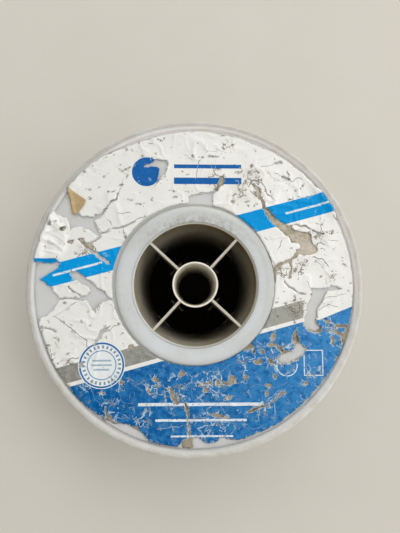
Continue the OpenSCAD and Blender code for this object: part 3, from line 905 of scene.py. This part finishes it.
    # Where there is ink it has flaked: cracks show white paper, chips show tan paper
    inked = add(tree, "Math", (field, 0.07, broken), operation="MULTIPLY_ADD")
    inked = add(tree, "Math", (worn, 0.10, inked), operation="MULTIPLY_ADD")
    stroked = add(tree, "Math", (worn, 0.08, fray), operation="MULTIPLY_ADD")
    bare = add(tree, "Math", (worn, 0.07, chipped), operation="MULTIPLY_ADD")
    chips = add(tree, "MapRange", (bare, 0.73, 0.74))
    wide_cracks = add(tree, "MapRange", (wide_cells, 0.042, 0.022))
    fine_cracks = add(tree, "MapRange", (fine_cells, 0.055, 0.025))
    lines = add(tree, "Math", (hairline, chips), operation="MAXIMUM")
    for mask, amount, start, end in ((wide_cracks, inked, 0.60, 0.63),
                                     (fine_cracks, inked, 0.645, 0.675),
                                     (strokes, stroked, 0.595, 0.62)):
        some = add(tree, "MapRange", (amount, start, end))
        mask = add(tree, "Math", (mask, some), operation="MULTIPLY")
        lines = add(tree, "Math", (lines, mask), operation="MAXIMUM")
    coloured = add(tree, "Math", (field, marked), operation="MAXIMUM")
    coloured = add(tree, "Math", (coloured, light), operation="MAXIMUM")
    lines = add(tree, "Math", (lines, coloured), operation="MULTIPLY")
    strong = add(tree, "MapRange", (worn, 0, 0.8, 0.42, 0.9))
    kept = add(tree, "MapRange", (x, -84, -56, 0.25, 1))
    strong = add(tree, "Math", (strong, kept), operation="MULTIPLY")
    scratches = add(tree, "Math", (lines, strong), operation="MULTIPLY")
    tan = add(tree, "MapRange", (bare, 0.735, 0.75, 0, 0.9))
    tan = add(tree, "Math", (tan, field), operation="MULTIPLY")

    # On the white, dirt lies in the cracks, in specks and in marks
    uninked = add(tree, "Math", (1.0, coloured), operation="SUBTRACT")
    specks = add(tree, "Math", (crazed, 0.10, flecks), operation="MULTIPLY_ADD")
    specks = add(tree, "MapRange", (specks, 0.70, 0.73))
    dirty = add(tree, "Math", (crazed, 0.13, broken), operation="MULTIPLY_ADD")
    dirty = add(tree, "MapRange", (dirty, 0.62, 0.66))
    wide_dirt = add(tree, "MapRange", (wide_cells, 0.045, 0.02))
    fine_dirt = add(tree, "MapRange", (fine_cells, 0.075, 0.04))
    dirt = add(tree, "Math", (wide_dirt, fine_dirt), operation="MAXIMUM")
    dirt = add(tree, "Math", (dirt, dirty), operation="MULTIPLY")
    ragged = add(tree, "MapRange", (grain, 0.38, 0.48))
    ragged = add(tree, "Math", (ragged, marks), operation="MULTIPLY")
    for mask in (hairline, specks, ragged):
        dirt = add(tree, "Math", (dirt, mask), operation="MAXIMUM")
    dirt = add(tree, "Math", (dirt, uninked), operation="MULTIPLY")
    stains = add(tree, "Math", (dirt, 0.8), operation="MULTIPLY")
    haze = add(tree, "MapRange", (cloud, 0.35, 0.65, 0, 0.2))
    haze = add(tree, "Math", (haze, crazed), operation="MULTIPLY")
    haze = add(tree, "Math", (haze, uninked), operation="MULTIPLY")

    # Round each tear the ink and coating are frayed: a pale line, then tan paper
    wide = add(tree, "Math", (fray, 7.0, -3.5), operation="MULTIPLY_ADD")
    frayed = add(tree, "Math", (torn, wide), operation="SUBTRACT")
    pale = add(tree, "MapRange", (frayed, 0.4, 0.2, 0, 0.7))
    pale = add(tree, "Math", (pale, field), operation="MULTIPLY")
    brown = add(tree, "MapRange", (frayed, 0.1, -0.1))
    brown = add(tree, "Math", (brown, field), operation="MULTIPLY")
    grimy = add(tree, "MapRange", (frayed, 0.0, -0.2, 0, 0.7))
    grimy = add(tree, "Math", (grimy, uninked), operation="MULTIPLY")
    soaked = add(tree, "MapRange", (crazed, 0, 0.5, 0.3, 1))
    grimy = add(tree, "Math", (grimy, soaked), operation="MULTIPLY")
    reach = add(tree, "Math", (grain, 0.9, -0.2), operation="MULTIPLY_ADD")
    core = add(tree, "Math", (torn, reach), operation="LESS_THAN")
    core = add(tree, "Math", (core, 0.55), operation="MULTIPLY")
    layers += [(scratches, scratch_paint), (tan, "#8E846C"), (stains, "#5F574A"),
               (haze, "#A39A86"), (pale, "#D3DADC"), (brown, brown_paper),
               (grimy, "#857A66"), (core, "#D6D3C8")]

    rough = add(tree, "MapRange", (lines, 0, 1, 0.5, 0.8))
    height = add(tree, "Math", (dirt, lines), operation="MAXIMUM")
    height = add(tree, "Math", (height, -0.5), operation="MULTIPLY")
    height = add(tree, "Math", (grain, 0.25, height), operation="MULTIPLY_ADD")
    bump = add(tree, "Bump", {"Height": height, "Strength": 0.5, "Distance": 0.12 * MM})
    close_material(tree, "#E9E9E4", layers, rough, bump, IOR=1.48, Specular_IOR_Level=0.1)
    return material


def backing_paper():
    """Kraft backing paper soaked with old glue: mottled tan, dull, with soft fibres."""
    material, tree, at = new_material("kraft_backing_paper")
    mottle = add(tree, "TexNoise", {"Vector": at, "Scale": 1 / 5, "Detail": 6, "Roughness": 0.65})
    fibre = add(tree, "TexNoise", {"Vector": at, "Scale": 1 / 1.1, "Detail": 4, "Distortion": 1.5})
    streak = add(tree, "TexNoise", {"Vector": at, "Scale": 1 / 2.4, "Detail": 5,
                                    "Roughness": 0.7, "Distortion": 0.8})
    # Near the right of the white the glue has gone down to a thin pale film
    worn = graded(tree, at, (67, 22, 88), 8, 3, 0, 0.45, "DISTANCE")
    # Darker under the blue field, where it has been wet
    wet = graded(tree, at, ACROSS_STRIPES, -30, -40, 0, 0.5)
    deeper = add(tree, "Math", (wet, 1.2, 0.4), operation="MULTIPLY_ADD")
    dark = add(tree, "MapRange", (streak, 0.45, 0.36, 0, 0.8))
    dark = add(tree, "Math", (dark, deeper), operation="MULTIPLY")
    layers = [(add(tree, "MapRange", (mottle, 0.36, 0.66)), "#9C927B"),
              (add(tree, "MapRange", (streak, 0.52, 0.62, 0, 0.6)), "#D3CCBF"),
              (wet, "#847A62"), (dark, "#675C45"), (worn, "#D4CAC0"),
              (add(tree, "MapRange", (fibre, 0.54, 0.66, 0, 0.5)), "#E0DACC")]
    bump = add(tree, "Bump", {"Height": fibre, "Strength": 0.5, "Distance": 0.15 * MM})
    rough = add(tree, "MapRange", (fibre, 0, 1, 0.78, 0.92))
    close_material(tree, "#BDB3A0", layers, rough, bump, IOR=1.45)
    return material


def folded_paper():
    """The back of the film: kraft paper, smoother and warmer than the torn backing."""
    material, tree, at = new_material("folded_kraft_paper")
    mottle = add(tree, "TexNoise", {"Vector": at, "Scale": 1 / 4, "Detail": 5})
    streak = add(tree, "TexNoise", {"Vector": at, "Scale": 1 / 1.5, "Detail": 4, "Distortion": 1.0})
    layers = [(mottle, "#A0865C"),
              (add(tree, "MapRange", (streak, 0.5, 0.7, 0, 0.5)), "#CBB894")]
    bump = add(tree, "Bump", {"Height": mottle, "Strength": 0.4, "Distance": 0.4 * MM})
    rough = add(tree, "MapRange", (mottle, 0, 1, 0.7, 0.85))
    close_material(tree, "#C3AB82", layers, rough, bump, IOR=1.45)
    return material


def face_dirt(tree, at, radius, smear):
    """The layers of dirt, painted light and shade on the labelled flange, and a mask of its dull
    rim bead.
    """
    x, y, z = (add(tree, "SeparateXYZ", (at,), out=axis) for axis in "XYZ")
    # Old glue dulls the web, and handling browns the rim. The rim is also greyed towards the upper
    # left, partly by age and partly as painted shade over its highlight
    web = add(tree, "MapRange", (z, WEB_Z + 0.2, WEB_Z + 1.4, 0.45, 0))
    bead = add(tree, "MapRange", (radius, 95.4, 97.0))
    brown = add(tree, "MapRange", (smear, 0.35, 0.65, 0.15, 0.75))
    browned = add(tree, "Math", (bead, brown), operation="MULTIPLY")
    aged_and_painted_shade = graded(tree, at, (-0.8, 0.55, 0), -30, 90, 0.04, 0.42)
    # Painted shade on the rim's side towards the lamp, over the highlight that the lamp puts there
    darker_right = graded(tree, at, (0.77, 0.64, 0), 50, 96, 0, 0.24)
    aged_and_painted_shade = add(tree, "Math", (aged_and_painted_shade, darker_right), operation="ADD")
    aged_and_painted_shade = add(tree, "Math", (bead, aged_and_painted_shade), operation="MULTIPLY")
    # The rim's inner side: painted light at the upper right, which lifts the shade in the groove,
    # and painted shade at the lower left, which dims the lamp's light on the slope
    inner = add(tree, "MapRange", (radius, 93.8, 94.6))
    inner = add(tree, "Math", (inner, bead), operation="SUBTRACT", use_clamp=True)
    rubbed_and_painted_light = graded(tree, at, (0.5, 0.87, 0), 10, 70, 0, 0.9)
    rubbed_and_painted_light = add(tree, "Math", (rubbed_and_painted_light, inner), operation="MULTIPLY")
    inner_rim_painted_shade = graded(tree, at, (-0.45, -0.89, 0), 10, 95, 0, 0.5)
    inner_rim_painted_shade = add(tree, "Math", (inner_rim_painted_shade, inner), operation="MULTIPLY")
    # Grey over the upper side of the collar, denser on its shoulder and at the right: partly dirt
    # and partly painted shade against the lamp's light there
    veil_and_painted_shade = graded(tree, at, (0.3, 0.95, 0), -20, 42, 0, 0.28)
    outer = add(tree, "MapRange", (radius, 41, 46))
    dense = add(tree, "MapRange", (x, 5, 40, 0.1, 0.42))
    veil_and_painted_shade = add(tree, "Math", (outer, dense, veil_and_painted_shade), operation="MULTIPLY_ADD")
    collar = add(tree, "Math", (radius, 49.0), operation="LESS_THAN")
    veil_and_painted_shade = add(tree, "Math", (veil_and_painted_shade, collar), operation="MULTIPLY")
    smudge = graded(tree, at, (-34, 31, 90), 17, 4, 0, 0.2, "DISTANCE")
    smudge = add(tree, "Math", (smudge, brown), operation="MULTIPLY")
    layers = [(web, "#BEBDBE"), (browned, "#BFB7AA"), (aged_and_painted_shade, "#8F8984"), (rubbed_and_painted_light, "#F4F1EE"),
              (inner_rim_painted_shade, "#8F8A84"), (smudge, "#8A8A80"), (veil_and_painted_shade, "#A5A7A0")]
    # Dust and painted shade: brownish darkening in the corners at the foot of the collar and of the
    # rim
    for corner_r, reach, amount in ((48.0, 1.6, 0.25), (94.9, 1.0, 0.05)):
        away = off_from(tree, radius, corner_r)
        dust_and_painted_shading = add(tree, "MapRange", (away, 0.1, reach, amount, 0),
                   interpolation_type="SMOOTHSTEP")
        layers.append((dust_and_painted_shading, "#8F8570"))
    # Brown dirt on the collar beside the hub's mouth, most at the top
    mouth = add(tree, "MapRange", (radius, 38.5, 44.5, 0.6, 0))
    top = add(tree, "MapRange", (y, 22, 38))
    mouth = add(tree, "Math", (mouth, top), operation="MULTIPLY")
    blotch = add(tree, "TexNoise", {"Vector": at, "Scale": 1 / 3.2, "Detail": 5,
                                    "Roughness": 0.7})
    blotch = add(tree, "MapRange", (blotch, 0.46, 0.62))
    mouth = add(tree, "Math", (mouth, blotch), operation="MULTIPLY")
    layers.append((mouth, "#7E705A"))
    return layers, bead


def bore_dirt(tree, at, smear):
    """Olive-brown dust in the hub, thicker on one side and towards the mouth, with painted light
    deep in.
    """
    z = add(tree, "SeparateXYZ", (at,), out="Z")
    depth = off_from(tree, z, FACE_Z / 2)
    mouth = add(tree, "MapRange", (depth, 15, 43, 0, 0.3))
    dust_and_painted_shading = graded(tree, at, (0.55, 0.85, 0), -36, 36, 0.25, 0.75)
    dust_and_painted_shading = add(tree, "Math", (dust_and_painted_shading, mouth), operation="ADD")
    # Painted light: thinner dust deep in the hub and in its far half keeps the deep walls pale
    # against their shade
    deep_painted_light = add(tree, "MapRange", (depth, 10, 38, 0.3, 1))
    dust_and_painted_shading = add(tree, "Math", (dust_and_painted_shading, deep_painted_light), operation="MULTIPLY")
    patchy = add(tree, "MapRange", (smear, 0.3, 0.7, 0.85, 1.15))
    dust_and_painted_shading = add(tree, "Math", (dust_and_painted_shading, patchy), operation="MULTIPLY", use_clamp=True)
    far_half_painted_light = add(tree, "MapRange", (z, 30, 50, 0.3, 1))
    dust_and_painted_shading = add(tree, "Math", (dust_and_painted_shading, far_half_painted_light), operation="MULTIPLY")
    # The end face is cleaner, and darker towards the right
    end_face = add(tree, "MapRange", (depth, 44.5, 44.9))
    darker_right = graded(tree, at, (0.95, 0.25, 0), -36, 30, 0, 0.8)
    darker_right = add(tree, "Math", (darker_right, end_face), operation="MULTIPLY")
    return [(dust_and_painted_shading, "#786945"), (end_face, "#CBCDC8"), (darker_right, "#7F7560")]


def moulded_polypropylene(name, pale, deep, soak=1.2, milky=0.7, dirt=""):
    """Milky, injection-moulded polypropylene.

    Light sinks in by about the soak, in millimetres, so edges look soft. The skin is satin
    with faint flow clouds, fine scuffs and specks. Dirt says where the piece gets dirt, painted
    light and painted shade: on its face, in its bore, on its keepers or on its sides.
    """
    material, tree, at = new_material(name)
    y, z = (add(tree, "SeparateXYZ", (at,), out=axis) for axis in "YZ")
    flat = add(tree, "VectorMath", (at, (1, 1, 0)), operation="MULTIPLY")
    radius = add(tree, "VectorMath", (flat,), out="Value", operation="LENGTH")
    # Flow clouds, specks and smears: size, detail, rough
    cloud, speck, smear = (
        add(tree, "TexNoise", {"Vector": at, "Scale": 1 / size, "Detail": detail,
                               "Roughness": rough})
        for size, detail, rough in ((26, 4, 0.6), (1.7, 3, 0.7), (9, 5, 0.65)))

    # Scuffs: thin lines where a stretched noise crosses its middle
    long = add(tree, "VectorMath", (at, (1.0, 0.25, 0.6)), operation="MULTIPLY")
    stretched = add(tree, "TexNoise", {"Vector": long, "Scale": 1 / 3.0, "Detail": 4,
                                       "Distortion": 1.2})
    scuff = add(tree, "MapRange", (off_from(tree, stretched, 0.5), 0.003, 0.014, 1, 0))
    scuffed = add(tree, "MapRange", (cloud, 0.5, 0.62, 0, 0.25))
    scuff = add(tree, "Math", (scuff, scuffed), operation="MULTIPLY")
    layers = [(add(tree, "MapRange", (cloud, 0.35, 0.65)), deep), (scuff, "#8E8A7E"),
              (add(tree, "MapRange", (speck, 0.69, 0.74, 0, 0.6)), "#6F6857")]
    rough = add(tree, "MapRange", (speck, 0.3, 0.7, 0.36, 0.52))

    if dirt == "face":
        grime_and_painted_shade, bead = face_dirt(tree, at, radius, smear)
        layers += grime_and_painted_shade
        rough = add(tree, "Math", (bead, 0.22, rough), operation="MULTIPLY_ADD")
    if dirt == "bore":
        layers += bore_dirt(tree, at, smear)
    if dirt == "sides":
        # Painted shade on the sides of the ribs, grey-brown, which leaves their upper edges light
        dust_and_painted_shading = add(tree, "MapRange", (z, FACE_Z - 0.3, FACE_Z - 1.6, 0, 0.7))
        layers.append((dust_and_painted_shading, "#6A6353"))
    if dirt == "keepers":
        # Painted shade, near black, on the ribs away from the arbor tube and on the upper side
        grime_and_painted_shade = add(tree, "MapRange", (radius, 17, 23))
        upper = add(tree, "MapRange", (y, -4, 2, 0, 0.8))
        grime_and_painted_shade = add(tree, "Math", (grime_and_painted_shade, upper), operation="MAXIMUM")
        layers.append((grime_and_painted_shade, "#17150F"))

    height = add(tree, "Math", (scuff, -2.5), operation="MULTIPLY")
    height = add(tree, "Math", (speck, 0.3, height), operation="MULTIPLY_ADD")
    bump = add(tree, "Bump", {"Height": height, "Strength": 0.35, "Distance": 0.08 * MM})
    close_material(tree, pale, layers, rough, bump, IOR=1.49, Subsurface_Weight=milky,
                   Subsurface_Radius=(soak * MM, 0.9 * soak * MM, 0.78 * soak * MM),
                   Subsurface_Scale=1.0)
    return material


def plain_floor():
    """Matt painted board."""
    material, tree, at = new_material("matt_painted_board")
    tone = add(tree, "TexNoise", {"Vector": at, "Scale": 1 / 60, "Detail": 3})
    # A painted shadow: the board is dark inside the hub, under the spool
    under = graded(tree, at, (0, 0, 0), 42, 38, measure="DISTANCE")
    fine = add(tree, "TexNoise", {"Vector": at, "Scale": 1 / 1.2, "Detail": 2})
    bump = add(tree, "Bump", {"Height": fine, "Strength": 0.1, "Distance": 0.05 * MM})
    close_material(tree, "#D9D5CB", [(tone, "#D3CFC4"), (under, "#3A352B")], 0.85, bump,
                   Specular_IOR_Level=0.2)
    return material


# ------------------------------------------------------------------ camera, stage, light

# The camera stands over the hub and leans a little towards the top of the label
CAMERA_AT = (-1.604, -8.583, 326.8)
CAMERA_TILT = (-0.0811, 0.0186)
CAMERA_LENS = 27.08

# The floor's half size, in metres
FLOOR_HALF = 6.0

# The tent's dark opening and its bright side, as directions from the spool
OPENING = (-0.134, -0.111, 0.985)
BRIGHT_SIDE = (0.77, 0.64, 0)

# The height, in metres, that the lamp looks at
LAMP_AIM = 0.05


def make_camera():
    """A camera close over the labelled face, which looks down the hub."""
    data = bpy.data.cameras.new("camera")
    data.lens = CAMERA_LENS
    data.sensor_width = 36.0
    data.clip_start = 0.01
    camera = bpy.data.objects.new("camera", data)
    bpy.context.scene.collection.objects.link(camera)
    tilt, lean = CAMERA_TILT
    turned = Matrix.Rotation(tilt, 3, "X") @ Matrix.Rotation(lean, 3, "Y")
    placed = Matrix.Translation(Vector(CAMERA_AT) * MM)
    camera.matrix_world = placed @ turned.transposed().to_4x4()
    bpy.context.scene.camera = camera


def make_floor():
    """The board under the far flange."""
    board = bmesh.new()
    bmesh.ops.create_grid(board, x_segments=4, y_segments=4, size=FLOOR_HALF)
    mesh = bpy.data.meshes.new("floor")
    board.to_mesh(mesh)
    board.free()
    mesh.materials.append(plain_floor())
    floor = bpy.data.objects.new("floor", mesh)
    bpy.context.scene.collection.objects.link(floor)


def make_world():
    """A pale tent: even light from all round, with a dark opening nearly overhead."""
    world = bpy.data.worlds.new("tent")
    world.use_nodes = True
    bpy.context.scene.world = world
    tree = world.node_tree
    tree.nodes.clear()
    way = add(tree, "TexCoord", out="Generated")
    overhead, side = (
        add(tree, "VectorMath", (way, there), out="Value", operation="DOT_PRODUCT")
        for there in (OPENING, BRIGHT_SIDE))
    overhead = add(tree, "MapRange", (overhead, 0.78, 0.92, 1.0, 0.0),
                   interpolation_type="SMOOTHSTEP")
    strength = add(tree, "Math", (side, 0.58, 0.98), operation="MULTIPLY_ADD")
    strength = add(tree, "Math", (overhead, strength), operation="MULTIPLY")
    light = add(tree, "Background", {"Color": srgb("#FFFEFC"), "Strength": strength})
    seen = add(tree, "Background", {"Color": srgb("#E9E6DF"), "Strength": 1.0})
    direct = 0.0
    for ray in ("Is Camera Ray", "Is Glossy Ray", "Is Transmission Ray"):
        direct = add(tree, "Math", (direct, add(tree, "LightPath", out=ray)), operation="MAXIMUM")
    add(tree, "OutputWorld", (add(tree, "MixShader", (direct, light, seen)),))


def make_lamp(name, azimuth, elevation, distance, width, height, power):
    """A soft box that looks at the spool from an azimuth, in degrees from +X."""
    data = bpy.data.lights.new(name, "AREA")
    data.shape = "RECTANGLE"
    data.size, data.size_y = width, height
    data.energy = power
    lamp = bpy.data.objects.new(name, data)
    bpy.context.scene.collection.objects.link(lamp)
    turn, rise = math.radians(azimuth), math.radians(elevation)
    way = Vector((math.cos(turn) * math.cos(rise), math.sin(turn) * math.cos(rise),
                  math.sin(rise)))
    lamp.location = way * distance + Vector((0, 0, LAMP_AIM))
    lamp.rotation_euler = way.to_track_quat("Z", "Y").to_euler()


# ------------------------------------------------------------------ making

make_camera()
make_floor()
make_world()
make_lamp("key", azimuth=38, elevation=58, distance=1.6, width=2.2, height=0.6, power=8.4)

FINISHES = {
    "near_flange": moulded_polypropylene("moulded_polypropylene", "#DDE0E1", "#D3D6D4", 6.0,
                                         dirt="face"),
    "far_flange": moulded_polypropylene("moulded_polypropylene_far", "#D0D2CE", "#C5C5BE", 6.0),
    "winding_drum": moulded_polypropylene("moulded_polypropylene_drum", "#CDCFCA", "#C2C2BA"),
    "near_sleeve": moulded_polypropylene("dusty_polypropylene", "#E6E1D4", "#DBD4C2",
                                         milky=0.3, dirt="bore"),
    "near_ribs": moulded_polypropylene("rib_polypropylene", "#D0CCC0", "#C1BCAE", dirt="sides"),
    # The far ribs lie deep in the hub: their dark colours are painted shade
    "far_ribs": moulded_polypropylene("deep_rib_polypropylene_painted_shade", "#625D4D", "#565142",
                                      dirt="keepers"),
    "near_arbor_tube": moulded_polypropylene("tube_polypropylene", "#F2EDE1", "#E8E2D4",
                                             milky=0.15),
}
FINISHES["far_sleeve"] = FINISHES["near_sleeve"]
FINISHES["far_arbor_tube"] = FINISHES["near_arbor_tube"]
for node, finish in FINISHES.items():
    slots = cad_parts[node].data.materials
    slots.clear()
    slots.append(finish)

film = film_piece(printed_film())
backing = backing_piece(backing_paper())
fold = folded_piece(folded_paper())
for piece in (film, backing, fold):
    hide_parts("face_label")

bpy.context.scene.view_settings.view_transform = "Standard"
bpy.context.view_layer.update()
